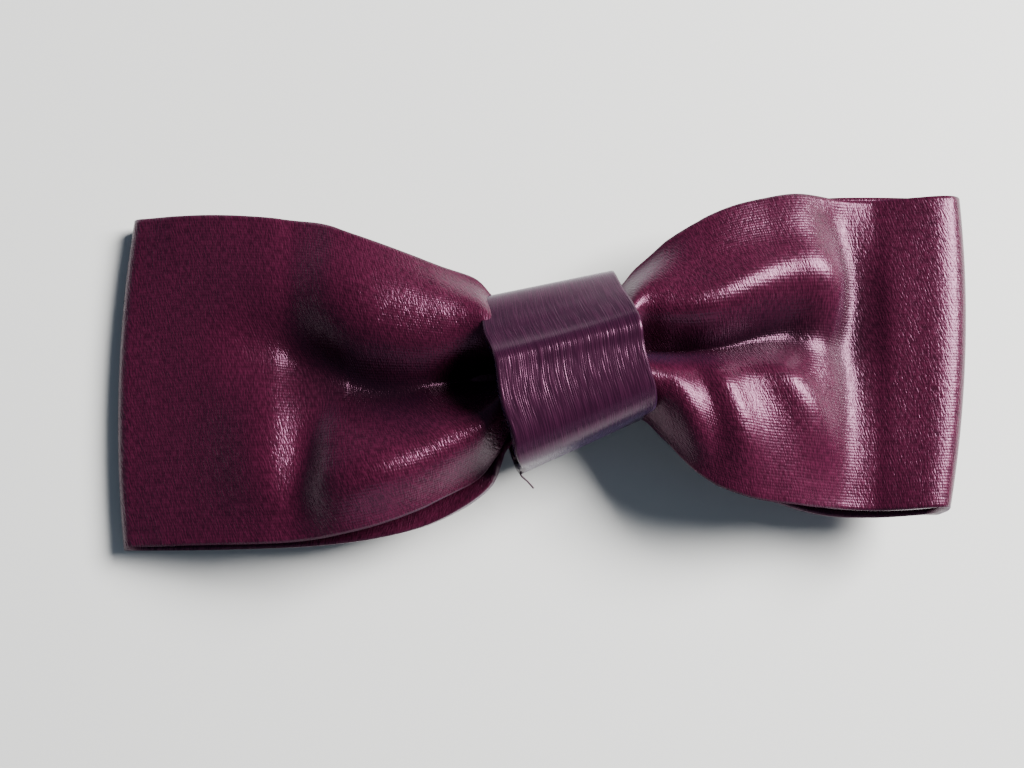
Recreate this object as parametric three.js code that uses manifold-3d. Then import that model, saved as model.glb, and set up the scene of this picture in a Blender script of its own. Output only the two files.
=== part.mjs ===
// A ready-tied clip-on bow tie, lying on its back with its front up. Millimetres, +Z up.
// X runs along the bow, Y across it and Z from the table up to the front of the knot.
// A satin tube is laid in a loop with its ends lapped behind the waist, pleated, bound with thread and
// wrapped by the knot. A sprung steel clip passes through the back of the knot.
import * as THREE from "three";
import { mergeVertices } from "three/addons/utils/BufferGeometryUtils.js";
import Module from "manifold-3d";

const wasm = await Module();
wasm.setup();

// ---- Driving dimensions ----
const BOW_HALF_LENGTH = 60.9; // at mid-height
const STRIP_HALF_WIDTH = 25.1;
const WAIST_HALF_WIDTH = 7.9;
const FLARE_START = 11.8; // from the middle of the knot
const LEFT_FLARE = 4.6;
const RIGHT_FLARE = 7;
const FLARE_SKEW = 1.3;
const SATIN = 0.35;
const EASE = 0.15; // between satin and interlining
const INTERLINING = 0.5;
const PANEL_HALF = SATIN + EASE + INTERLINING / 2;
const FRONT_PLEAT = 3.4; // half the depth of the pleats at the waist
const BACK_CURL = 0.8; // rise of the back's edges at the waist
const END_LEAN = 0.07; // the folded ends lean to the right at the top

const KNOT_X = 3; // the knot sits a little right of the middle
const KNOT_TURN = THREE.MathUtils.degToRad(12); // and has slipped round on the bow
const KNOT_HALF_WIDTH = 10.2;
const KNOT_HALF_HEIGHT = 10.75;
const KNOT_HALF_DEPTH = 9.25;
const KNOT_TAPER = 0.09; // taller at its left edge than at its right
const KNOT_MIDDLE_Z = 13.25;

const CLIP_PLATE = 0.8;
const CLIP_PLATE_BOTTOM = 5.6;
const CLIP_HALF_LENGTH = 31;
const CLIP_WIDTH = 9;
const HINGE_REACH = 20.6; // from the middle of the knot to each hinge pin
const HINGE_Z = 3.5;
const PIN_RADIUS = 0.7;
const PIN_HOLE = 0.8;
const JAW_PLATE = 0.7;
const JAW_WIDTH = 7;

// ---- Geometry helpers ----
const ACROSS = new THREE.Vector3(0, 1, 0);

function ease(low, high, value) {
  return THREE.MathUtils.smoothstep(value, low, high);
}

// Joins rings of points, all of one count, into the wall of a closed tube.
function wall(faces, rings, count, turned) {
  for (let i = 0; i + 1 < rings; i++) {
    for (let j = 0; j < count; j++) {
      const a = i * count + j;
      const b = i * count + ((j + 1) % count);
      faces.push(...face(a, b, b + count, a + count, turned));
    }
  }
}

function face(a, b, c, d, turned) {
  return turned ? [a, c, b, a, d, c] : [a, b, c, a, c, d];
}

function geometryOf(points, faces) {
  const flat = points.flatMap((p) => [p.x, p.y, p.z]);
  const geometry = new THREE.BufferGeometry();
  geometry.setAttribute("position", new THREE.Float32BufferAttribute(flat, 3));
  geometry.setIndex(faces);
  return facingOut(geometry);
}

// Turns a closed mesh round if its faces point inwards.
function facingOut(geometry) {
  const at = geometry.getAttribute("position");
  const index = geometry.getIndex().array;
  const [a, b, c] = [new THREE.Vector3(), new THREE.Vector3(), new THREE.Vector3()];
  let volume = 0;
  for (let i = 0; i < index.length; i += 3) {
    a.fromBufferAttribute(at, index[i]);
    b.fromBufferAttribute(at, index[i + 1]);
    c.fromBufferAttribute(at, index[i + 2]);
    volume += a.dot(b.cross(c));
  }
  if (volume < 0) {
    for (let i = 0; i < index.length; i += 3) {
      [index[i], index[i + 1]] = [index[i + 1], index[i]];
    }
  }
  return geometry;
}

// A ring round a sheet: out along its upper side, over one edge, back along its lower side.
// surface(t, side) gives the sheet's middle, and rise is half the thickness of the ring.
function ringRound(surface, t, sides, rise, overhang) {
  const step = 1e-3;
  const frame = sides.map((side) => {
    const point = surface(t, side);
    const along = surface(t + step, side).sub(surface(t - step, side)).normalize();
    const across = surface(t, side + step).sub(surface(t, side - step)).normalize();
    return { point, across, normal: along.clone().cross(across).normalize() };
  });
  const lifted = (f, by) => f.point.clone().addScaledVector(f.normal, by);
  const beyond = (f, by) => f.point.clone().addScaledVector(f.across, by);
  return [
    ...frame.map((f) => lifted(f, rise)),
    beyond(frame.at(-1), overhang),
    ...frame.map((f) => lifted(f, -rise)).reverse(),
    beyond(frame[0], -overhang),
  ];
}

function steps(count, from = 0, to = 1) {
  return Array.from({ length: count + 1 }, (_, i) => from + ((to - from) * i) / count);
}

// The same steps with both ends drawn in a little, so that a lining stops short of its satin.
function shortened(values, by) {
  return [values[0] + by, ...values.slice(1, -1), values.at(-1) - by];
}

// A flattened satin tube along a sheet, hollow for its interlining and open at both ends.
function satinTube(surface, stations, sides) {
  const outer = stations.map((t) => ringRound(surface, t, sides, PANEL_HALF, SATIN));
  const bore = PANEL_HALF - SATIN;
  const inner = stations.map((t) => ringRound(surface, t, sides, bore, 0.1));
  const count = outer[0].length;
  const points = [...outer.flat(), ...inner.flat()];
  const faces = [];
  wall(faces, stations.length, count, false);
  const inside = [];
  wall(inside, stations.length, count, true);
  const shift = outer.length * count;
  faces.push(...inside.map((i) => i + shift));
  const last = (stations.length - 1) * count;
  for (let j = 0; j < count; j++) {
    const k = (j + 1) % count;
    faces.push(...face(j, j + shift, k + shift, k, false));
    faces.push(...face(last + j, last + k, last + k + shift, last + j + shift, false));
  }
  return geometryOf(points, faces);
}

// A plain strip along a sheet, with its ends closed.
function strip(surface, stations, sides, halfThickness) {
  const rings = stations.map((t) => ringRound(surface, t, sides, halfThickness, 0.02));
  const count = rings[0].length;
  const faces = [];
  wall(faces, rings.length, count, false);
  const last = (rings.length - 1) * count;
  const upper = sides.length;
  const lower = (j) => count - 2 - j;
  for (const [base, turned] of [[0, true], [last, false]]) {
    for (let j = 0; j + 1 < upper; j++) {
      faces.push(...face(base + j, base + j + 1, base + lower(j + 1), base + lower(j), turned));
    }
    const [low, high] = [base + count - 1, base + upper];
    faces.push(...triangle(base, base + lower(0), low, turned));
    faces.push(...triangle(base + upper - 1, high, base + lower(upper - 1), turned));
  }
  return geometryOf(rings.flat(), faces);
}

function triangle(a, b, c, turned) {
  return turned ? [a, c, b] : [a, b, c];
}

// A thread or wire of round section along a curve.
function threadAlong(curve, radius, count, around = 6) {
  const section = new THREE.Shape();
  section.absarc(0, 0, radius, 0, 2 * Math.PI);
  const options = { steps: count, curveSegments: around / 2, extrudePath: curve, bevelEnabled: false };
  return new THREE.ExtrudeGeometry(section, options);
}

function solid(geometry) {
  const bare = geometry.index ? geometry.clone() : mergeable(geometry);
  const merged = mergeVertices(bare, 1e-4);
  const mesh = new wasm.Mesh({
    numProp: 3,
    vertProperties: merged.attributes.position.array,
    triVerts: new Uint32Array(merged.index.array),
  });
  return new wasm.Manifold(mesh);
}

function mergeable(geometry) {
  const bare = geometry.clone();
  bare.deleteAttribute("normal");
  bare.deleteAttribute("uv");
  return bare;
}

function meshOf(manifold) {
  const made = manifold.getMesh();
  const geometry = new THREE.BufferGeometry();
  geometry.setAttribute("position", new THREE.BufferAttribute(made.vertProperties, 3));
  geometry.setIndex(new THREE.BufferAttribute(made.triVerts, 1));
  return geometry;
}

function joined(geometries) {
  return meshOf(geometries.map(solid).reduce((whole, next) => whole.add(next)));
}

function satinColour(roughness) {
  return new THREE.MeshStandardMaterial({ color: 0x5a1f3d, roughness, metalness: 0 });
}

const cloth = satinColour(0.35);
const lining = new THREE.MeshStandardMaterial({ color: 0xd9d5cc, roughness: 0.95, metalness: 0 });
const thread = new THREE.MeshStandardMaterial({ color: 0x2e1222, roughness: 0.7, metalness: 0 });
const steel = new THREE.MeshStandardMaterial({ color: 0xb8babd, roughness: 0.3, metalness: 1 });
const springSteel = new THREE.MeshStandardMaterial({ color: 0x8d9094, roughness: 0.35, metalness: 1 });

const bowTie = new THREE.Group();

function add(name, geometry, material) {
  const mesh = new THREE.Mesh(geometry, material);
  mesh.name = name;
  bowTie.add(mesh);
}

// ---- The bow's strip ----
// Side view of the strip, from the end lapped first behind the waist, round the left loop,
// across the front, round the right loop and back under the first end: [x, z].
const LAP_UPPER_Z = 10.85;
const LAP_LOWER_Z = 8.95;
const FRONT_Z = 16.8;
const STRIP_PATH = [
  [10, LAP_UPPER_Z],
  [KNOT_X, LAP_UPPER_Z],
  [-5.4, LAP_UPPER_Z],
  [-9.6, LAP_UPPER_Z - 0.2],
  [-14, 10],
  [-20, 9],
  [-29, 7.9],
  [-38, 5.4],
  [-48, 2.6],
  [-54.5, 1.3],
  [-58.7, 0.95],
  [-60.3, 1.45],
  [-BOW_HALF_LENGTH, 2.6],
  [-60.3, 3.75],
  [-58.7, 4.3],
  [-53, 6.1],
  [-46, 9.6],
  [-36, 14],
  [-27, 16.4],
  [-19, 17.3],
  [-14, 17.2],
  [-9.6, FRONT_Z],
  [-5.4, FRONT_Z],
  [KNOT_X, FRONT_Z],
  [11.4, FRONT_Z],
  [15.6, FRONT_Z],
  [20, 17.4],
  [26, 18.5],
  [33, 19],
  [40, 18.2],
  [46, 15.6],
  [51.5, 12.9],
  [58.7, 12.25],
  [60.3, 11.75],
  [BOW_HALF_LENGTH, 10.6],
  [60.3, 9.45],
  [58.7, 8.95],
  [52, 8.3],
  [42, 8],
  [32, 8],
  [24, 8.1],
  [15.6, LAP_LOWER_Z - 0.1],
  [11.4, LAP_LOWER_Z],
  [KNOT_X, LAP_LOWER_Z],
  [-4, LAP_LOWER_Z],
];
const spine = new THREE.CatmullRomCurve3(STRIP_PATH.map(([x, z]) => new THREE.Vector3(x, 0, z)));

// The strip widens just outside the turned knot, sooner at its left side than at its right.
function halfWidthAt(x, side) {
  const from = x - KNOT_X;
  const across = midlineAt(x) + FLARE_SKEW * WAIST_HALF_WIDTH * side;
  const clear = Math.abs(from * Math.cos(KNOT_TURN) + across * Math.sin(KNOT_TURN)) - FLARE_START;
  const past = Math.max(0, clear) / (from < 0 ? LEFT_FLARE : RIGHT_FLARE);
  return STRIP_HALF_WIDTH - (STRIP_HALF_WIDTH - WAIST_HALF_WIDTH) / (1 + past ** 1.5);
}

// The waist slopes with the turned knot, and the loops come back into line.
function midlineAt(x) {
  const from = x - KNOT_X;
  return Math.tan(KNOT_TURN) * from * Math.exp(-((from / 24) ** 4));
}

// How far the surface stands off the midline: two pleats in front, curled edges behind.
function standOff(x, side, front) {
  const past = Math.max(0, Math.abs(x - KNOT_X) - FLARE_START);
  const pleats = -FRONT_PLEAT * Math.exp(-((past / 22) ** 2)) * Math.cos(2 * Math.PI * side);
  const curl = -BACK_CURL * Math.exp(-((past / 6) ** 2)) * side ** 4;
  return front * pleats + (1 - front) * curl;
}

// The middle of the strip: t runs along it from 0 to 1, and side across it from -1 to 1.
function stripSurface(t, side) {
  const within = THREE.MathUtils.clamp(t, 0, 1);
  const centre = spine.getPoint(within);
  const ahead = spine.getTangent(within);
  centre.addScaledVector(ahead, (t - within) * spine.getLength());
  const up = new THREE.Vector3(-ahead.z, 0, ahead.x);
  const front = ease(-0.4, 0.4, ahead.x);
  const x = centre.x;
  const y = midlineAt(x) + halfWidthAt(x, side) * side;
  const lean = END_LEAN * y * (x / BOW_HALF_LENGTH) ** 2;
  return new THREE.Vector3(centre.x + lean, y, centre.z)
    .addScaledVector(up, standOff(x, side, front));
}

const STRIP_SIDES = [-1, -0.85, -0.7, -0.5, -0.33, -0.16, 0, 0.16, 0.33, 0.5, 0.7, 0.85, 1];
const STRIP_STATIONS = steps(STRIP_PATH.length - 1);
add("bow_satin", satinTube(stripSurface, STRIP_STATIONS, STRIP_SIDES), cloth);
const bowLining = strip(stripSurface, shortened(STRIP_STATIONS, 0.005), shortened(STRIP_SIDES, 0.006), INTERLINING / 2);
add("bow_interlining", bowLining, lining);

// ---- The knot, its binding and its stitches ----
// Each is made about its own middle, then turned and moved to the waist.
const knotPlacement = new THREE.Matrix4().makeRotationZ(KNOT_TURN).setPosition(KNOT_X, 0, 0);
function addOnKnot(name, geometry, material) {
  add(name, geometry.applyMatrix4(knotPlacement), material);
}

// A rounded rectangle in the YZ plane, reached by an angle from +Y towards +Z.
function roundedRing(angle, halfHeight, halfDepth, squareness) {
  const soft = (v) => Math.sign(v) * Math.abs(v) ** (2 / squareness);
  return { y: halfHeight * soft(Math.cos(angle)), z: halfDepth * soft(Math.sin(angle)) };
}

// The knot's strip: from behind, up the top side, over the front and back under its own start.
const KNOT_START = THREE.MathUtils.degToRad(-112);
const KNOT_SWEEP = THREE.MathUtils.degToRad(400);
const KNOT_SQUARENESS = 4.5;
const LAP_RISE = 1.9;
function knotSurface(t, side) {
  const angle = KNOT_START + KNOT_SWEEP * t;
  const lap = LAP_RISE * ease(0.7, 0.88, t);
  const taper = 1 - KNOT_TAPER * side;
  const [halfHeight, halfDepth] = [KNOT_HALF_HEIGHT * taper + lap, KNOT_HALF_DEPTH + lap];
  const { y, z } = roundedRing(angle, halfHeight, halfDepth, KNOT_SQUARENESS);
  return new THREE.Vector3(KNOT_HALF_WIDTH * side, y, KNOT_MIDDLE_Z + z);
}

const KNOT_SIDES = [-1, -0.5, 0, 0.5, 1];
const KNOT_STATIONS = steps(46);
addOnKnot("knot_satin", satinTube(knotSurface, KNOT_STATIONS, KNOT_SIDES), cloth);
const knotLining = strip(knotSurface, shortened(KNOT_STATIONS, 0.005), shortened(KNOT_SIDES, 0.03), INTERLINING / 2);
addOnKnot("knot_interlining", knotLining, lining);

// Thread wound round the pleated waist, taken as one band.
const BINDING_HALF_WIDTH = 4;
const BINDING_THICKNESS = 0.4;
const BINDING_LOW = 6.7;
const BINDING_HIGH = 21.5;
const BINDING_SQUARENESS = 4.5;
function bindingGeometry() {
  const depth = (BINDING_HIGH - BINDING_LOW) / 2;
  const width = WAIST_HALF_WIDTH + 1.5;
  const outline = (inset) =>
    steps(40).slice(0, -1).map((turn) => {
      const { y, z } = roundedRing(2 * Math.PI * turn, width - inset, depth - inset, BINDING_SQUARENESS);
      return new THREE.Vector2(y, z);
    });
  const shape = new THREE.Shape(outline(0));
  shape.holes.push(new THREE.Path(outline(BINDING_THICKNESS)));
  const geometry = new THREE.ExtrudeGeometry(shape, { depth: 2 * BINDING_HALF_WIDTH, bevelEnabled: false });
  // The outline's axes become Y and Z, and the extrusion runs along X.
  const turn = new THREE.Matrix4().makeBasis(ACROSS, new THREE.Vector3(0, 0, 1), new THREE.Vector3(1, 0, 0));
  geometry.applyMatrix4(turn);
  return geometry.translate(-BINDING_HALF_WIDTH, 0, BINDING_LOW + depth);
}
addOnKnot("waist_binding", bindingGeometry(), thread);

// A thread that whips to and fro over the raw end of a lapped strip, from the strip to the layer
// it is sewn to.
const STITCH_RADIUS = 0.15;
const STITCH_REACH = 1;
const STITCH_DROP = 1.6; // to the layer below
const STITCH_LIFT = PANEL_HALF + STITCH_RADIUS + 0.1;
function whipStitch(surface, sides) {
  const step = 1e-3;
  const route = sides.flatMap((side, i) => {
    const end = surface(1, side);
    const along = surface(1, side).sub(surface(1 - step, side)).normalize();
    const across = surface(1, side + step).sub(surface(1, side - step)).normalize();
    const out = along.clone().cross(across).normalize();
    const at = (forward, lift) => end.clone().addScaledVector(along, forward).addScaledVector(out, lift);
    const crossing = [at(-STITCH_REACH, STITCH_LIFT), at(0.4, STITCH_LIFT), at(STITCH_REACH, STITCH_LIFT - STITCH_DROP)];
    return i % 2 ? crossing.reverse() : crossing;
  });
  const curve = new THREE.CatmullRomCurve3(route, false, "catmullrom", 0.2);
  return threadAlong(curve, STITCH_RADIUS, 3 * route.length, 4);
}
add("bow_end_stitches", whipStitch(stripSurface, steps(8, -0.8, 0.8)), thread);
addOnKnot("knot_stitches", whipStitch(knotSurface, steps(8, -0.75, 0.75)), thread);

// The end of the sewing thread, left hanging from the knot's lower left corner.
const TAIL_ROUTE = [
  [-9.5, -13, 8.6],
  [-10.2, -14.2, 8.9],
  [-9.4, -15.4, 8.2],
  [-8.6, -16.6, 7.2],
];
const tail = new THREE.CatmullRomCurve3(TAIL_ROUTE.map((p) => new THREE.Vector3(...p)));
addOnKnot("thread_tail", threadAlong(tail, STITCH_RADIUS, 14), thread);

// ---- The clip ----
const EAR = 0.6;
const EAR_RADIUS = 1.5;
const BRIDGE_EAR_Y = 3.9;
const JAW_EAR_Y = 2.9;
const TACK_REACH = 8;
const TACK_HOLE = 0.9;
const LEVER_REACH = 8; // from the hinge in towards the knot
const TIP_REACH = 9.4; // from the hinge out to the teeth
const CLIP_PLATE_MIDDLE = CLIP_PLATE_BOTTOM + CLIP_PLATE / 2;

// Extrudes an outline drawn in X and Z along Y, from y to y + depth.
function extrudeAlongY(shape, y, depth) {
  const geometry = new THREE.ExtrudeGeometry(shape, { depth, bevelEnabled: false, curveSegments: 8 });
  return geometry.rotateX(Math.PI / 2).translate(0, y + depth, 0);
}

// A lug that runs from a plate at z = root to round the hinge pin.
function lug(x, root, y) {
  const up = root < HINGE_Z;
  const shape = new THREE.Shape();
  shape.moveTo(x - EAR_RADIUS, root);
  shape.lineTo(x - EAR_RADIUS, HINGE_Z);
  shape.absarc(x, HINGE_Z, EAR_RADIUS, Math.PI, 0, up);
  shape.lineTo(x + EAR_RADIUS, root);
  const hole = new THREE.Path();
  hole.absarc(x, HINGE_Z, PIN_HOLE, 0, 2 * Math.PI);
  shape.holes.push(hole);
  return extrudeAlongY(shape, y, EAR);
}

function lugPair(x, root, reach) {
  return [lug(x, root, reach), lug(x, root, -reach - EAR)];
}

function roundedPlate(halfLength, halfWidth, corner, thickness, z, holes = []) {
  const shape = new THREE.Shape();
  shape.absarc(halfLength - corner, halfWidth - corner, corner, 0, Math.PI / 2);
  shape.absarc(-halfLength + corner, halfWidth - corner, corner, Math.PI / 2, Math.PI);
  shape.absarc(-halfLength + corner, -halfWidth + corner, corner, Math.PI, 1.5 * Math.PI);
  shape.absarc(halfLength - corner, -halfWidth + corner, corner, 1.5 * Math.PI, 2 * Math.PI);
  for (const x of holes) {
    const hole = new THREE.Path();
    hole.absarc(x, 0, TACK_HOLE, 0, 2 * Math.PI);
    shape.holes.push(hole);
  }
  const geometry = new THREE.ExtrudeGeometry(shape, { depth: thickness, bevelEnabled: false, curveSegments: 6 });
  return geometry.translate(0, 0, z);
}

const bridgePlate = roundedPlate(CLIP_HALF_LENGTH, CLIP_WIDTH / 2, 2, CLIP_PLATE, CLIP_PLATE_BOTTOM, [
  -TACK_REACH,
  TACK_REACH,
]);
const bridgeLugs = [-HINGE_REACH, HINGE_REACH].flatMap((x) => lugPair(x, CLIP_PLATE_MIDDLE, BRIDGE_EAR_Y));
add("clip_bridge", joined([bridgePlate, ...bridgeLugs]).translate(KNOT_X, 0, 0), steel);

// The toothed wall that closes against the bridge.
const TOOTH_COUNT = 5;
const TOOTH_TOP = 5.3;
const TOOTH_ROOT = 4.3;
const TOOTH_WALL = 0.7;
function toothedWall() {
  const half = JAW_WIDTH / 2;
  const shape = new THREE.Shape();
  shape.moveTo(-half, 0);
  shape.lineTo(half, 0);
  shape.lineTo(half, TOOTH_ROOT);
  for (let i = 0; i < TOOTH_COUNT; i++) {
    const from = half - (JAW_WIDTH * i) / TOOTH_COUNT;
    shape.lineTo(from - (0.5 * JAW_WIDTH) / TOOTH_COUNT, TOOTH_TOP);
    shape.lineTo(from - JAW_WIDTH / TOOTH_COUNT, TOOTH_ROOT);
  }
  const geometry = new THREE.ExtrudeGeometry(shape, { depth: TOOTH_WALL, bevelEnabled: false });
  geometry.rotateX(Math.PI / 2).rotateZ(Math.PI / 2);
  return geometry.translate(TIP_REACH - TOOTH_WALL, 0, 0);
}

// One jaw, made with its hinge over the origin and its teeth towards +X.
function jawGeometry() {
  const middle = (TIP_REACH - LEVER_REACH) / 2;
  const plate = roundedPlate((TIP_REACH + LEVER_REACH) / 2, JAW_WIDTH / 2, 0.6, JAW_PLATE, 0);
  return joined([plate.translate(middle, 0, 0), ...lugPair(0, JAW_PLATE / 2, JAW_EAR_Y), toothedWall()]);
}

// A straight pin with a flat head at each end.
const PIN_HEAD_RADIUS = 1.1;
const PIN_HEAD_INNER = 4.7;
const PIN_HEAD_OUTER = 5.1;
function pinGeometry() {
  const profile = [
    [0, -PIN_HEAD_OUTER],
    [PIN_HEAD_RADIUS, -PIN_HEAD_OUTER],
    [PIN_HEAD_RADIUS, -PIN_HEAD_INNER],
    [PIN_RADIUS, -PIN_HEAD_INNER],
    [PIN_RADIUS, PIN_HEAD_INNER],
    [PIN_HEAD_RADIUS, PIN_HEAD_INNER],
    [PIN_HEAD_RADIUS, PIN_HEAD_OUTER],
    [0, PIN_HEAD_OUTER],
  ];
  const geometry = new THREE.LatheGeometry(profile.map(([r, y]) => new THREE.Vector2(r, y)), 16);
  return geometry.translate(0, 0, HINGE_Z);
}

// A torsion spring coiled round the pin, one leg under the bridge and one on the lever.
const COIL_RADIUS = 1.2;
const COIL_TURNS = 4.5;
const COIL_PITCH = 0.66;
const SPRING_WIRE = 0.25;
const LEG_REACH = 6.6;
const UPPER_LEG_Z = CLIP_PLATE_BOTTOM - SPRING_WIRE - 0.1;
const LOWER_LEG_Z = JAW_PLATE + SPRING_WIRE + 0.1;
function springGeometry() {
  const half = (COIL_TURNS * COIL_PITCH) / 2;
  const coil = steps(14 * COIL_TURNS).map((t) => {
    const angle = Math.PI / 2 - 2 * Math.PI * COIL_TURNS * t;
    const z = HINGE_Z + COIL_RADIUS * Math.sin(angle);
    return new THREE.Vector3(COIL_RADIUS * Math.cos(angle), half * (2 * t - 1), z);
  });
  const route = [
    new THREE.Vector3(-LEG_REACH, -half - 0.1, UPPER_LEG_Z),
    new THREE.Vector3(-2.5, -half - 0.05, UPPER_LEG_Z - 0.25),
    ...coil,
    new THREE.Vector3(-2.5, half + 0.05, LOWER_LEG_Z + 0.6),
    new THREE.Vector3(-LEG_REACH, half + 0.1, LOWER_LEG_Z),
  ];
  return threadAlong(new THREE.CatmullRomCurve3(route), SPRING_WIRE, 66);
}

// The thread that ties the bridge to the back of the waist, through a hole and round one edge.
const TACK_RADIUS = 0.18;
function tackGeometry() {
  const route = [
    [0, CLIP_PLATE_MIDDLE],
    [0.6, CLIP_PLATE_BOTTOM - 0.3],
    [2.5, CLIP_PLATE_BOTTOM - 0.32],
    [4.4, CLIP_PLATE_BOTTOM - 0.28],
    [5, CLIP_PLATE_MIDDLE],
    [4.4, CLIP_PLATE_BOTTOM + CLIP_PLATE + 0.28],
    [2.5, CLIP_PLATE_BOTTOM + CLIP_PLATE + 0.3],
    [0.6, CLIP_PLATE_BOTTOM + CLIP_PLATE + 0.28],
  ];
  const curve = new THREE.CatmullRomCurve3(route.map(([y, z]) => new THREE.Vector3(0, y, z)), true);
  return threadAlong(curve, TACK_RADIUS, 26);
}

for (const [side, sign] of [["left", -1], ["right", 1]]) {
  // The left half is the right half turned about the knot's upright axis.
  const place = (geometry) => {
    geometry.translate(HINGE_REACH, 0, 0).rotateZ(sign < 0 ? Math.PI : 0);
    return geometry.translate(KNOT_X, 0, 0);
  };
  add(`${side}_jaw`, place(jawGeometry()), steel);
  add(`${side}_hinge_pin`, place(pinGeometry()), steel);
  add(`${side}_jaw_spring`, place(springGeometry()), springSteel);
  const tack = tackGeometry().translate(sign * TACK_REACH + KNOT_X, 0, 0);
  add(`clip_tack_${side}`, tack, thread);
}

export default bowTie;
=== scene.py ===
import bpy
import numpy as np
from mathutils import Matrix, Vector


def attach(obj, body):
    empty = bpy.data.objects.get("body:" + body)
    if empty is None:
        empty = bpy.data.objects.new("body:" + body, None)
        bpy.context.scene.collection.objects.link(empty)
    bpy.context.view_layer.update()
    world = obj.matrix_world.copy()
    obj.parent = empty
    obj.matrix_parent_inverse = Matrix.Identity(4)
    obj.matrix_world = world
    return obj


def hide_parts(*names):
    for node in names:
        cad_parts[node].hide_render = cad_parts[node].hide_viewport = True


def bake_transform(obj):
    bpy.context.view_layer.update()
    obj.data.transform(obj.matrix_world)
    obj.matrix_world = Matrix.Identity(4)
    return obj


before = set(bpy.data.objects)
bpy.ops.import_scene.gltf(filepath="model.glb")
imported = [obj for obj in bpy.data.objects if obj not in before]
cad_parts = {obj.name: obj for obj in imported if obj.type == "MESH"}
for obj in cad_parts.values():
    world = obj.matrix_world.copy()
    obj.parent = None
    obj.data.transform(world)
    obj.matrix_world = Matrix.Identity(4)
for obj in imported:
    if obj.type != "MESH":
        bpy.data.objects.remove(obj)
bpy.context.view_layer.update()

# The bow: one flattened tube of plum satin with a lining strip inside. It is laid in a loop, lapped
# behind the waist and gathered there, so its front panel puffs up beside the knot and falls in folds.
# All of its lists are in millimetres.
MM = 0.001
PANEL = 1.5 * MM


def feed(node, sockets):
    """Sets a node's sockets by name or number. A Value is linked, and a number or a colour is set."""
    for key, given in sockets.items():
        if isinstance(given, Value):
            node.id_data.links.new(given.socket, node.inputs[key])
        else:
            node.inputs[key].default_value = given


class Value:
    """A shader value that can be written as arithmetic."""

    def __init__(self, socket):
        self.socket = socket

    def node(self, kind, settings, sockets, output=0):
        made = self.socket.id_data.nodes.new(kind)
        for key, setting in settings.items():
            setattr(made, key, setting)
        feed(made, sockets)
        return Value(made.outputs[output])

    def math(self, operation, *others):
        return self.node("ShaderNodeMath", {"operation": operation}, dict(enumerate((self, *others))))

    def __add__(self, other):
        return self.math("ADD", other)

    __radd__ = __add__

    def __sub__(self, other):
        return self.math("SUBTRACT", other)

    def __rsub__(self, other):
        return self * -1 + other

    def __mul__(self, other):
        return self.math("MULTIPLY", other)

    __rmul__ = __mul__

    def __truediv__(self, other):
        return self.math("DIVIDE", other)

    def sine(self):
        return self.math("SINE")

    def blend(self, low, high, start=0.0, end=1.0):
        """Maps start..end to low..high and holds it there."""
        return self.node("ShaderNodeMapRange", {}, {0: self, 1: start, 2: end, 3: low, 4: high})

    def vector(self, y):
        return self.node("ShaderNodeCombineXYZ", {}, {0: self, 1: y})

    def noise(self, scale, detail=2.0):
        return self.node("ShaderNodeTexNoise", {}, {"Vector": self, "Scale": scale, "Detail": detail}, "Fac")

    def mix(self, colour_a, colour_b):
        return self.node("ShaderNodeMix", {"data_type": "RGBA"}, {0: self, 6: colour_a, 7: colour_b}, 2)

    def bump(self, strength, distance, **under):
        sockets = {"Height": self, "Strength": strength, "Distance": distance, **under}
        return self.node("ShaderNodeBump", {}, sockets)


def new_material(name):
    """A material, its shader, and the Object coordinates of the piece that wears it."""
    material = bpy.data.materials.new(name)
    material.use_nodes = True
    place = material.node_tree.nodes.new("ShaderNodeTexCoord")
    shader = material.node_tree.nodes["Principled BSDF"]
    return material, shader, Value(place.outputs["Object"])


def satin(name, dark, light, slant, length, lines, rough, relief):
    """Satin whose floats lie across the strip, at a slant and with a length in millimetres. Faint
    lines cross them, with so many radians a millimetre along and across."""
    material, shader, spot = new_material(name)
    flat = Value(spot.socket.node.outputs["UV"])
    along = flat.node("ShaderNodeSeparateXYZ", {}, {0: flat}, 0)
    across = flat.node("ShaderNodeSeparateXYZ", {}, {0: flat}, 1)
    painted_shade = flat.node("ShaderNodeAttribute", {"attribute_name": "PaintedShade"}, {}, "Fac")
    slanted = along + across * slant
    grain = (slanted / 0.21).vector(across / length).noise(1.0, 1.0)
    thread = (slanted / 1.3).vector(across / 9.0).noise(1.0, 2.0)
    ribs = (along * lines[0] + across * lines[1]).sine()
    cloud = spot.noise(45.0, 3.0)
    glint = grain.blend(0.0, 1.0, 0.38, 0.66)
    cloth = (0.5 * glint + 0.35 * thread + 0.3 * cloud + 0.05 * ribs - 0.1).blend(0.0, 1.0).mix(dark, light)
    worn = (0.16 * glint + 0.3 * cloud + 0.1).blend(rough[0], rough[1], 0.2, 0.5)
    woven = (grain + 0.06 * ribs).bump(1.0, relief)
    feed(shader, {
        # Painted shade: the colour goes almost black along the bottoms of the creases.
        "Base Color": (0.9 * painted_shade).mix(cloth, (0.001, 0.0002, 0.0006, 1)),
        "Roughness": worn - 0.03 * painted_shade,
        "Normal": (cloud + 0.3 * thread).bump(0.2, 0.0005, Normal=woven),
        "IOR": 1.27,
        "Specular IOR Level": 1.0,
        "Specular Tint": (1.0, 0.45, 0.76, 1),
        "Sheen Weight": 0.04,
        "Sheen Tint": (0.35, 0.25, 0.7, 1),
    })
    return material


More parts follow.
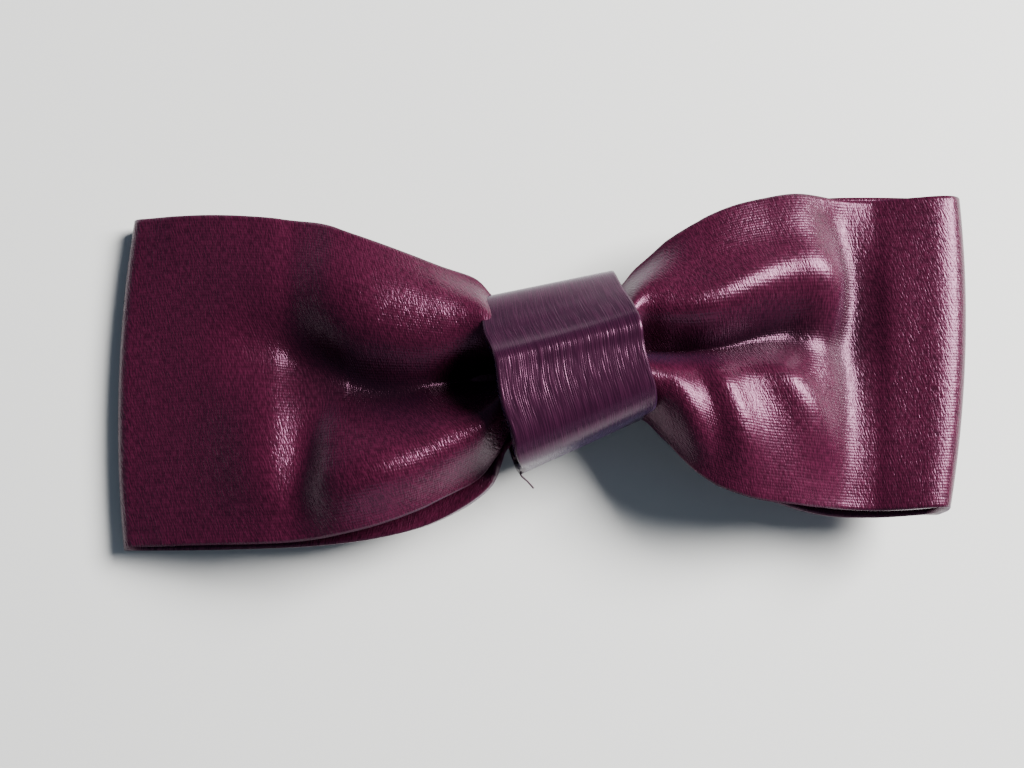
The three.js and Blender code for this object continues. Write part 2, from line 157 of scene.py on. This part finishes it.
def curve_through(knots, t):
    """Catmull-Rom through evenly spaced knots, t from 0 to 1."""
    knots = np.asarray(knots, float)
    at = np.clip(t, 0, 1) * (len(knots) - 1)
    first = np.minimum(at.astype(int), len(knots) - 2)
    part = (at - first)[:, None]
    start, end = knots[first], knots[first + 1]
    before = knots[np.maximum(first - 1, 0)]
    after = knots[np.minimum(first + 2, len(knots) - 1)]
    squared = (2 * before - 5 * start + 4 * end - after) * part**2
    cubed = (3 * start - before - 3 * end + after) * part**3
    return 0.5 * (2 * start + (end - before) * part + squared + cubed)


def stations(outline, count):
    """Places along an outline, evenly spaced in length, and the outline's length."""
    t = np.linspace(0, 1, 4000)
    steps = np.linalg.norm(np.diff(curve_through(outline, t), axis=0), axis=1)
    length = np.concatenate([[0], np.cumsum(steps)])
    return np.interp(np.linspace(0, length[-1], count), length, t), length[-1]


def fold(x, y, path):
    """Height of a fold at x, y. Its path is rows of x, y, height and width, smooth at both ends."""
    height = np.zeros(x.shape)
    total = np.full(x.shape, 1e-12)
    for fold_x, fold_y, high, wide in curve_through(path, np.linspace(0, 1, 60)):
        near = np.exp(-4 * ((x - fold_x) ** 2 + (y - fold_y) ** 2) / wide**2)
        height = height + high * near
        total = total + near
    return height / total * np.clip(total / total.max(), 0, 1) ** 0.25


# The strip from the side as x, z: from the first lapped end round the left loop, over the front and
# round the right loop to the second end.
STRIP = [
    (10, 10.9), (3, 10.9), (-9.6, 10.7), (-14, 10), (-20, 9), (-29, 7.9), (-38, 5.6), (-48, 2.9),
    (-56, 1.5), (-59.5, 0.95), (-61.2, 1.4), (-61.9, 2.5), (-61.3, 3.6), (-59.5, 4.3), (-54, 6.6),
    (-46, 10.2), (-41, 12.2), (-37, 13.3), (-31, 16.2), (-25, 17.2), (-18, 16.6), (-11, 14.9),
    (-4, 15.4), (3, 16.2), (9, 15.4), (14, 15), (18.5, 16.2), (24, 17.5), (31, 17.7), (38, 16.8),
    (42.6, 15.1), (46.8, 13.4), (50.4, 12.7), (53, 13.4), (56, 14.4), (59, 15.4), (61.2, 15.3),
    (62.5, 13.7), (62.6, 11.2), (62, 9.6), (60.3, 8.95), (52, 8.3), (42, 8), (32, 8), (24, 8.1),
    (15.6, 8.85), (3, 8.95), (-4, 8.95),
]
# The top and bottom edges of the front panel and of the back panel as x, y.
FRONT_TOP = [
    (-62, 25.3), (-51.7, 24.8), (-42.3, 23.4), (-34.6, 21.7), (-28.7, 19.3), (-21.4, 16.6), (-15.5, 14.6),
    (-10.5, 13), (-8, 10), (-5, 7.4), (3, 7.8), (9, 8.2), (12, 11.5), (14.5, 14.8), (18.1, 18),
    (22.6, 20.6), (28.9, 23.2), (35.3, 24.6), (40.4, 25.1), (48.8, 25), (56.7, 24.7), (64, 24.7),
]
FRONT_BOTTOM = [
    (-62, -24.8), (-51.5, -24.9), (-42.5, -25), (-36.6, -24.8), (-30.8, -24), (-25.1, -22.8),
    (-19.3, -20.9), (-13.5, -18.4), (-10.6, -16.6), (-8, -13), (-5, -9), (3, -7.8), (10, -6.2),
    (13, -6.8), (15.9, -10.2), (18.2, -13.3), (22.4, -17.6), (29.5, -20.7), (37.3, -22), (45, -22.8),
    (52.8, -23.4), (62, -23.2),
]
BACK_TOP = [
    (-62, 25.2), (-48, 24.6), (-36, 22.3), (-24, 18.2), (-14, 13.5), (-9, 8.5), (3, 7.8), (14, 8.6),
    (20, 14.5), (30, 21.5), (37, 25.4), (44, 26.6), (52, 26.7), (62, 26.2),
]
BACK_BOTTOM = [
    (-62, -25.2), (-48, -25.6), (-34, -25.6), (-24, -24.6), (-16, -22.4), (-9, -18), (-6, -12), (3, -8.2),
    (14, -7.6), (20, -12.5), (30, -18.8), (42, -23.2), (52, -24.2), (62, -24),
]

# The front panel's folds as x, y, height and width. A height below zero is a dip.
FOLDS = [
    # The left wing's long hollow, the puffs above and below it, and the small folds at its end.
    [
        (-6, -1.6, -2.4, 2.4), (-11, -2.3, -3, 3.2), (-20, -3.7, -5, 5), (-26, -3.5, -6.2, 5.6),
        (-32, -1.6, -6, 5.6), (-38, 2.5, -4.2, 5.4), (-44, 4, -1.8, 5), (-50, 5, 0, 5),
    ],
    [(-6, 6, 1.2, 3.5), (-14, 9.5, 1.8, 4.5), (-26, 11, 1.4, 6), (-34, 13, 1, 6.5), (-42, 14, 0, 7)],
    [
        (-6, -8, 1.2, 3), (-12, -10.5, 2.2, 3.6), (-20.6, -14.8, 2.8, 4), (-26.3, -16.4, 2.8, 4.2),
        (-32, -17.8, 2, 4.4), (-38, -18, 0.8, 5), (-44, -17, 0, 6),
    ],
    [(-45, -2, 0, 5), (-43, -9, 0.7, 5), (-42.5, -16, 0.7, 5), (-44, -23, 0, 5)],
    [(-35, -7, -0.8, 2.8), (-35.6, -12, -1.5, 3), (-35.6, -18, -1.1, 3), (-36, -23, 0, 2.8)],
    [(-21, -6.6, 0, 1.6), (-16, -5.4, 0.8, 1.5), (-11, -4.4, 0.8, 1.4), (-7, -3.6, 0, 1.4)],
    # The right wing's hollow, the puff above it, the ridge that turns down past its end, the small
    # fold below it, the valley before the wing's flat end and the two slanted folds.
    [
        (10, 0.6, -3, 1.8), (19, 1.4, -4.6, 2.4), (26, 1.6, -4.6, 3), (32, 2.8, -4.4, 4),
        (38, 3.4, -3.8, 4.8), (43, 1.5, -2, 5), (46, -2, 0, 4),
    ],
    [
        (10, 5, 1, 2.5), (17, 6.4, 2, 2.8), (24.4, 8.4, 2.2, 3.2), (30.5, 11, 2, 3.6),
        (36.8, 13, 1.6, 3.8), (43, 12, 0.8, 3.6), (46, 11, 0, 3),
    ],
    [
        (38, 22, 0.8, 4), (41, 14, 1.6, 3.6), (42.4, 7, 1.6, 3), (42, 0, 0.7, 3), (41, -8, -0.3, 3.5),
        (41, -16, -0.8, 4), (41, -23, -0.6, 4),
    ],
    [
        (10, -3, 0.8, 2), (16, -2, 1.4, 2), (18.5, -3, 1.5, 1.8), (20.2, -6, 1.2, 1.7),
        (21.6, -12, 0.6, 1.8), (23, -16, 0, 2),
    ],
    [
        (45.8, 22, -1, 2.8), (47.6, 12, -2.1, 3.2), (47.6, 4, -2.1, 3.4), (47, -5, -1.6, 3.4),
        (46.6, -13, -1.2, 3.4), (46.4, -22, -0.8, 3.4),
    ],
    [(23, -1, 0, 1.8), (25.6, -4.6, 1.4, 2), (28, -12, 1.3, 2.4), (29, -17, 0.2, 2.6)],
    [(32, -1, 0, 2.2), (36, -4.6, 1.5, 2.6), (40.5, -12.3, 1.3, 3.2), (41.6, -18, 0.1, 3.4)],
]
# How closed in the cloth is, as painted shade in its colour: x, y, amount and width along the bottoms of the
# creases.
PAINTED_SHADE_PATHS = [
    [
        (-7, -1.8, 1, 3.4), (-11, -2.3, 1, 4.4), (-20, -3.7, 1, 6.4), (-26, -3.5, 1, 6.8),
        (-32, -1.6, 0.95, 6.8), (-38, 2.5, 0.55, 6.4), (-44, 4, 0.2, 6), (-50, 5, 0, 6),
    ],
    [
        (10, 0.8, 1, 2.6), (19, 1.8, 1, 2.8), (26, 1.9, 1, 3), (32, 3.3, 1, 3.8), (38, 4, 0.9, 4.2),
        (43, 2, 0.5, 4), (47, -1, 0, 4),
    ],
    [(46, 22, 0.2, 2.5), (48, 12, 0.6, 2.8), (48, 4, 0.7, 3), (47.5, -5, 0.5, 3), (47.5, -14, 0.1, 3)],
]
WAIST = 3
GATHERED = 9
WING = 61
PLEAT_DEPTH = 2.6
TOP_DROOP = 2.4
BOTTOM_DROOP = 2.6
HEM_CURL = 0.8
BOWED_END = 1.4


def strip_surface(t, side):
    """Middle of the strip at t along it and side -1 to 1 across it, and how much shade is painted into its
    colour there.
    """
    spine = curve_through(STRIP, t)
    ahead = curve_through(STRIP, t + 1e-3) - curve_through(STRIP, t - 1e-3)
    ahead /= np.linalg.norm(ahead, axis=1)[:, None]
    x = spine[:, :1] + 0 * side
    front = np.clip((ahead[:, :1] + 0.4) / 0.8, 0, 1)
    front = front**2 * (3 - 2 * front) + 0 * side
    edges = []
    for front_edge, back_edge in ((FRONT_TOP, BACK_TOP), (FRONT_BOTTOM, BACK_BOTTOM)):
        found = []
        for edge in (front_edge, back_edge):
            line = curve_through(edge, np.linspace(0, 1, 400))
            found.append(np.interp(x, line[:, 0], line[:, 1]))
        edges.append(front * found[0] + (1 - front) * found[1])
    y = (edges[0] + edges[1]) / 2 + (edges[0] - edges[1]) / 2 * side
    # The front panel is pulled into pleats near the waist, and its edges droop from the puffed crown.
    past = np.maximum(0, np.abs(x - WAIST) - GATHERED)
    puffed = np.clip(past / 12, 0, 1) * np.clip((56 - np.abs(x)) / 22, 0, 1)
    lift = -PLEAT_DEPTH * np.cos(2 * np.pi * side) * np.exp(-((past / 9) ** 2))
    lift = lift - TOP_DROOP * np.clip((side - 0.2) / 0.8, 0, 1) ** 1.7 * puffed
    lift = lift - BOTTOM_DROOP * np.clip((-side - 0.4) / 0.6, 0, 1) ** 1.7 * puffed
    for path in FOLDS:
        lift = lift + fold(x, y, path) * np.clip((58 - np.abs(x)) / 6, 0, 1)
    # Painted shade, darkest along the bottoms of the creases on the front panel.
    painted_shade = sum(fold(x, y, path) for path in PAINTED_SHADE_PATHS) * front
    # The back panel's hems curl a little. The right end leans out at its top, and the ends are bowed.
    curl = HEM_CURL * side**4 * np.exp(-((np.maximum(0, np.abs(x - WAIST) - 12) / 6) ** 2))
    lean = (0.07 + 0.05 * x / WING) * y * (x / WING) ** 2
    lean = lean + np.sign(x) * BOWED_END * (1 - side**2) * (x / WING) ** 8
    out_x = x + lean - ahead[:, 1:] * front * lift
    out_z = spine[:, 1:] + np.abs(ahead[:, :1]) * front * lift + (1 - front) * curl
    return np.stack([out_x, y, out_z], -1), np.clip(painted_shade, 0, 1)


def made_up_strip(name, points, uv, painted_shade, material):
    """A grid of points as doubled and lined cloth. Its UVs are millimetres of the flat strip."""
    rows, columns = points.shape[:2]
    index = np.arange(rows * columns).reshape(rows, columns)
    corners = np.stack([index[:-1, :-1], index[1:, :-1], index[1:, 1:], index[:-1, 1:]], -1)
    faces = corners.reshape(-1, 4)
    mesh = bpy.data.meshes.new(name)
    mesh.from_pydata((points.reshape(-1, 3) * MM).tolist(), [], faces.tolist())
    layer = mesh.uv_layers.new(name="Strip")
    layer.data.foreach_set("uv", uv.reshape(-1, 2)[faces.ravel()].ravel())
    # The painted crease shade is kept on the points for the satin's colour.
    mesh.attributes.new("PaintedShade", "FLOAT", "POINT").data.foreach_set("value", painted_shade.ravel())
    mesh.materials.append(material)
    strip = bpy.data.objects.new(name, mesh)
    bpy.context.scene.collection.objects.link(strip)
    bpy.ops.object.select_all(action="DESELECT")
    bpy.context.view_layer.objects.active = strip
    strip.select_set(True)
    plies = strip.modifiers.new("Two plies and lining", "SOLIDIFY")
    plies.thickness = PANEL
    plies.offset = 0
    bpy.ops.object.modifier_apply(modifier=plies.name)
    bpy.ops.object.shade_smooth()
    return strip


PLUM_DARK = (0.009, 0.0008, 0.0032, 1)
PLUM_LIGHT = (0.05, 0.0044, 0.018, 1)
bow_satin = satin("bow satin", PLUM_DARK, PLUM_LIGHT, 0.27, 1.0, (0, 13.7), (0.26, 0.36), 0.00008)
BOW_ROWS, BOW_COLUMNS, HALF_HEIGHT = 520, 90, 25
t, strip_length = stations(STRIP, BOW_ROWS)
side = np.linspace(-1, 1, BOW_COLUMNS)[None, :]
points, painted_shade = strip_surface(t, side)
length = np.linspace(0, strip_length, BOW_ROWS)[:, None]
uv = np.stack(np.broadcast_arrays(length, HALF_HEIGHT * side), -1)
bow = made_up_strip("bow_cloth", points, uv, painted_shade, bow_satin)
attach(bow, "bow")
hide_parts("bow_satin", "bow_interlining")


# The sewing threads: both rows of stitches, the tacks that hold the clip and the loose tail at the
# knot's lower corner. They are spun polyester in a dark plum.
thread, shader, spot = new_material("thread")
twist = spot.noise(2500.0)
feed(shader, {
    "Base Color": twist.mix((0.012, 0.003, 0.008, 1), (0.05, 0.012, 0.03, 1)),
    "Roughness": twist.blend(0.55, 0.85),
    "Normal": twist.bump(0.6, 0.00008),
})
for name in ("bow_end_stitches", "knot_stitches", "thread_tail", "clip_tack_left", "clip_tack_right"):
    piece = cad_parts[name]
    piece.data.materials.clear()
    piece.data.materials.append(thread)


# The waist binding: the same thread wound tightly round the gathered waist. Its turns follow the
# inside of the knot's wrap with their corners drawn in, and stand turned as the knot does.
KNOT_TURN = np.radians(12)
TURNS = 14
THREAD_RADIUS = 0.2 * MM
BINDING_WIDTH = 7.2
WAIST_LEVEL = 13.6
WAIST_HALF_HEIGHT = 8.6
WAIST_HALF_DEPTH = 6.2
SQUARENESS = 0.62


def turned(x, y, z):
    """Points turned about the waist by as much as the knot has slipped round."""
    cos, sin = np.cos(KNOT_TURN), np.sin(KNOT_TURN)
    return np.stack([WAIST + cos * x - sin * y, sin * x + cos * y, z], -1)


def drawn_in(wave):
    """A sine or cosine made squarer, for a round with tight corners."""
    return np.sign(wave) * np.abs(wave) ** SQUARENESS


turn = np.linspace(0, TURNS, TURNS * 36 + 1)
around = 2 * np.pi * turn
x = -BINDING_WIDTH / 2 + BINDING_WIDTH * turn / TURNS
y = WAIST_HALF_HEIGHT * drawn_in(np.cos(around))
z = WAIST_LEVEL + WAIST_HALF_DEPTH * drawn_in(np.sin(around))
# The upper front corner is lower, under the wrap's slanted top.
z = z - 0.45 * np.clip(y - 2, 0, 9) * (z > WAIST_LEVEL)
wound = bpy.data.curves.new("binding_thread", "CURVE")
wound.dimensions = "3D"
wound.bevel_depth = THREAD_RADIUS
wound.bevel_resolution = 2
line = wound.splines.new("POLY")
line.points.add(len(turn) - 1)
line.points.foreach_set("co", np.column_stack([turned(x, y, z) * MM, np.ones(len(turn))]).ravel())
binding = bpy.data.objects.new("binding_thread", wound)
bpy.context.scene.collection.objects.link(binding)
bpy.ops.object.select_all(action="DESELECT")
bpy.context.view_layer.objects.active = binding
binding.select_set(True)
bpy.ops.object.convert(target="MESH")
binding = bpy.context.active_object
binding.data.materials.append(thread)
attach(binding, "bow")
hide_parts("waist_binding")


# The knot: a second, narrower satin tube wrapped round the waist with its floats upright, and lapped
# behind. It has slipped round, so it stands turned, and it is taller at its left edge.
# Its satin is the bow's cloth coloured darker than the bow's: painted shade, so that the knot's top facet
# stays as dark as the light leaves it.
SHADED_KNOT_DARK = (0.006, 0.0011, 0.0045, 1)
SHADED_KNOT_LIGHT = (0.024, 0.004, 0.0145, 1)
knot_satin = satin("knot satin", SHADED_KNOT_DARK, SHADED_KNOT_LIGHT, 0.0, 4.0, (21, 0), (0.23, 0.31), 0.00006)
# The wrap from its left side as y, z, from the lap behind, over the top and down the front.
KNOT_WRAP = [
    (-4.5, 4.0), (4, 4.0), (8.4, 4.7), (10.8, 6.6), (11.7, 9.6), (11.8, 12.4), (10.8, 15.2), (7.2, 18.6),
    (3.4, 21.6), (1.6, 22.6), (-0.8, 22.6), (-5, 22.1), (-8.8, 20.8), (-10.9, 18), (-11.4, 13),
    (-11.5, 7.5), (-10, 3.8), (-6, 2.2), (0, 2.0), (7.6, 2.35),
]
KNOT_ROWS, KNOT_COLUMNS, KNOT_HALF_WIDTH = 260, 60, 10.5


def knot_surface(t, side):
    """Middle of the wrap at t along it and side -1 to 1 across it, with a soft ridge on its front."""
    wrap = curve_through(KNOT_WRAP, t)
    y = wrap[:, :1] * (1 - 0.09 * side)
    z = wrap[:, 1:] + 0 * side
    front = np.clip((z - 14) / 6, 0, 1)
    ridge = np.exp(-((y - 1.6 + 1.1 * side) / 1.3) ** 2) * front
    z = z + 0.35 * ridge + 0.25 * front * side**2 - 0.25 * front
    x = 10.2 * side + (0.7 * side - 0.9 + 0.25 * np.sin(0.5 * y)) * front
    return turned(x, y + 0.085 * x, z)


t, wrap_length = stations(KNOT_WRAP, KNOT_ROWS)
side = np.linspace(-1, 1, KNOT_COLUMNS)[None, :]
points = knot_surface(t, side)
length = np.linspace(0, wrap_length, KNOT_ROWS)[:, None]
uv = np.stack(np.broadcast_arrays(KNOT_HALF_WIDTH * side, length), -1)
knot = made_up_strip("knot_cloth", points, uv, 0 * points[:, :, 0], knot_satin)
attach(knot, "bow")
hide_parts("knot_satin", "knot_interlining")


# The clip: a pressed bridge with two toothed jaws that swing on riveted pins, all in nickel-plated
# steel. The stamped edges are rolled over a little.
steel, shader, spot = new_material("nickel plate")
wear = spot.noise(700.0, 3.0)
feed(shader, {
    "Base Color": wear.mix((0.42, 0.42, 0.41, 1), (0.62, 0.62, 0.6, 1)),
    "Roughness": wear.blend(0.16, 0.42),
    "Normal": wear.bump(0.15, 0.00004),
    "Metallic": 1,
})
ROLLED_EDGE = 0.1 * MM
for name in ("clip_bridge", "left_jaw", "right_jaw", "left_hinge_pin", "right_hinge_pin"):
    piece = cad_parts[name]
    piece.data.materials.clear()
    piece.data.materials.append(steel)
    rolled = piece.modifiers.new("Rolled edges", "BEVEL")
    rolled.width = ROLLED_EDGE
    rolled.segments = 2
    rolled.limit_method = "ANGLE"


# The jaw springs: hard-drawn wire coiled round each pin, with one leg on the bridge and the other on
# the jaw's lever. Each is a copy of the imported spring with its points merged.
wire, shader, spot = new_material("spring wire")
scale = spot.noise(1500.0, 3.0)
feed(shader, {
    "Base Color": scale.mix((0.2, 0.2, 0.21, 1), (0.42, 0.42, 0.43, 1)),
    "Roughness": scale.blend(0.25, 0.5),
    "Metallic": 1,
})
for side, out in (("left", -1), ("right", 1)):
    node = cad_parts[side + "_jaw_spring"]
    spring = node.copy()
    spring.data = node.data.copy()
    spring.name = side + "_spring_wire"
    bpy.context.scene.collection.objects.link(spring)
    spring.parent = None
    spring.data.materials.clear()
    spring.data.materials.append(wire)
    bpy.ops.object.select_all(action="DESELECT")
    bpy.context.view_layer.objects.active = spring
    spring.select_set(True)
    bpy.ops.object.mode_set(mode="EDIT")
    bpy.ops.mesh.select_all(action="SELECT")
    bpy.ops.mesh.remove_doubles(threshold=0.001 * MM)
    bpy.ops.object.mode_set(mode="OBJECT")
    bpy.ops.mesh.customdata_custom_splitnormals_clear()
    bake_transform(spring)
    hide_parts(side + "_jaw_spring")


# The table, the light and the camera: a pale matt floor, a window far to the right, a weak fill from
# below and a pale blue room, seen from close above.
bpy.ops.mesh.primitive_plane_add(size=4, location=(0, 0, 0))
table = bpy.context.active_object
table.name = "table"
paper, shader, spot = new_material("pale table")
feed(shader, {
    "Base Color": spot.noise(6.0).mix((0.49, 0.5, 0.49, 1), (0.52, 0.53, 0.52, 1)),
    "Roughness": 0.7,
})
table.data.materials.append(paper)

room = bpy.data.worlds.new("Room")
bpy.context.scene.world = room
room.use_nodes = True
feed(room.node_tree.nodes["Background"], {"Color": (0.6, 0.76, 1.0, 1), "Strength": 0.2})


def window(name, place, size, power, colour):
    """A soft rectangular light that faces the bow."""
    bpy.ops.object.light_add(type="AREA", location=place)
    lamp = bpy.context.active_object
    lamp.name = name
    lamp.data.shape = "RECTANGLE"
    lamp.data.size, lamp.data.size_y = size
    lamp.data.energy = power
    lamp.data.color = colour
    lamp.rotation_euler = (-Vector(place)).to_track_quat("-Z", "Y").to_euler()


window("Window", (0.6, 0.28, 0.62), (0.46, 0.4), 47, (1.0, 0.97, 0.95))
window("Near fill", (0.1, -0.9, 0.3), (0.8, 0.3), 1.0, (0.9, 0.94, 1.0))

LOOKED_AT = Vector((-0.0046, -0.002, 0.007))
DISTANCE = 0.188
TILT_X, TILT_Y, ROLL = np.radians(-6), np.radians(-9), np.radians(2.1)
towards = Vector((np.tan(TILT_X), np.tan(TILT_Y), 1)).normalized()
right = Vector((np.sin(ROLL), np.cos(ROLL), 0)).cross(towards).normalized()
upright = towards.cross(right).normalized()
bpy.ops.object.camera_add()
camera = bpy.context.active_object
turn = Matrix(np.array([right, upright, towards]).T.tolist()).to_4x4()
camera.matrix_world = Matrix.Translation(LOOKED_AT + DISTANCE * towards) @ turn
camera.data.angle = np.radians(45.3)
camera.data.clip_start = 0.01
bpy.context.scene.camera = camera
